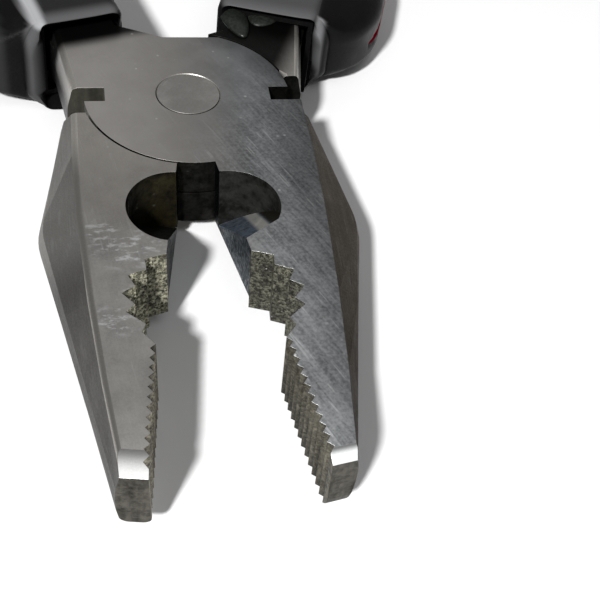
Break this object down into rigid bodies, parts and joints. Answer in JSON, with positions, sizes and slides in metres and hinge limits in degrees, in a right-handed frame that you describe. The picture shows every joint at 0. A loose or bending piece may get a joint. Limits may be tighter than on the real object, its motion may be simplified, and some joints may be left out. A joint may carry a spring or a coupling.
{
  "type": "combination pliers",
  "caption": "Combination pliers with a riveted lap joint, side cutter pocket, toothed pipe grip, serrated flat jaw and black lined grips with thumb guards and a red stripe.",
  "frame": {"origin": "centre of the rivet's lower end face, level with the head's lower face", "axes": "+Z along the pivot from the lower face to the upper face, +Y from the pivot to the handle ends, jaws towards -Y, +X across the head"},
  "size_m": [0.0953, 0.1995, 0.013],
  "materials": {
    "ground_steel": "satin, ground",
    "rivet_steel": "satin, ground flush",
    "liner_plastic": "matt",
    "cover_plastic": "satin",
    "stripe_plastic": "satin"
  },
  "bodies": {
    "upper_side": {"upper_half": "ground_steel", "pivot_rivet": "rivet_steel", "left_grip_liner": "liner_plastic", "left_grip_cover": "cover_plastic", "left_grip_stripe": "stripe_plastic"},
    "lower_side": {"lower_half": "ground_steel", "right_grip_liner": "liner_plastic", "right_grip_cover": "cover_plastic", "right_grip_stripe": "stripe_plastic"}
  },
  "joints": [
    {"name": "pivot", "type": "hinge", "parent": "upper_side", "child": "lower_side", "pos_m": [0, 0, 0], "axis": [0, 0, -1], "range_deg": [-17.8, 17]}
  ]
}
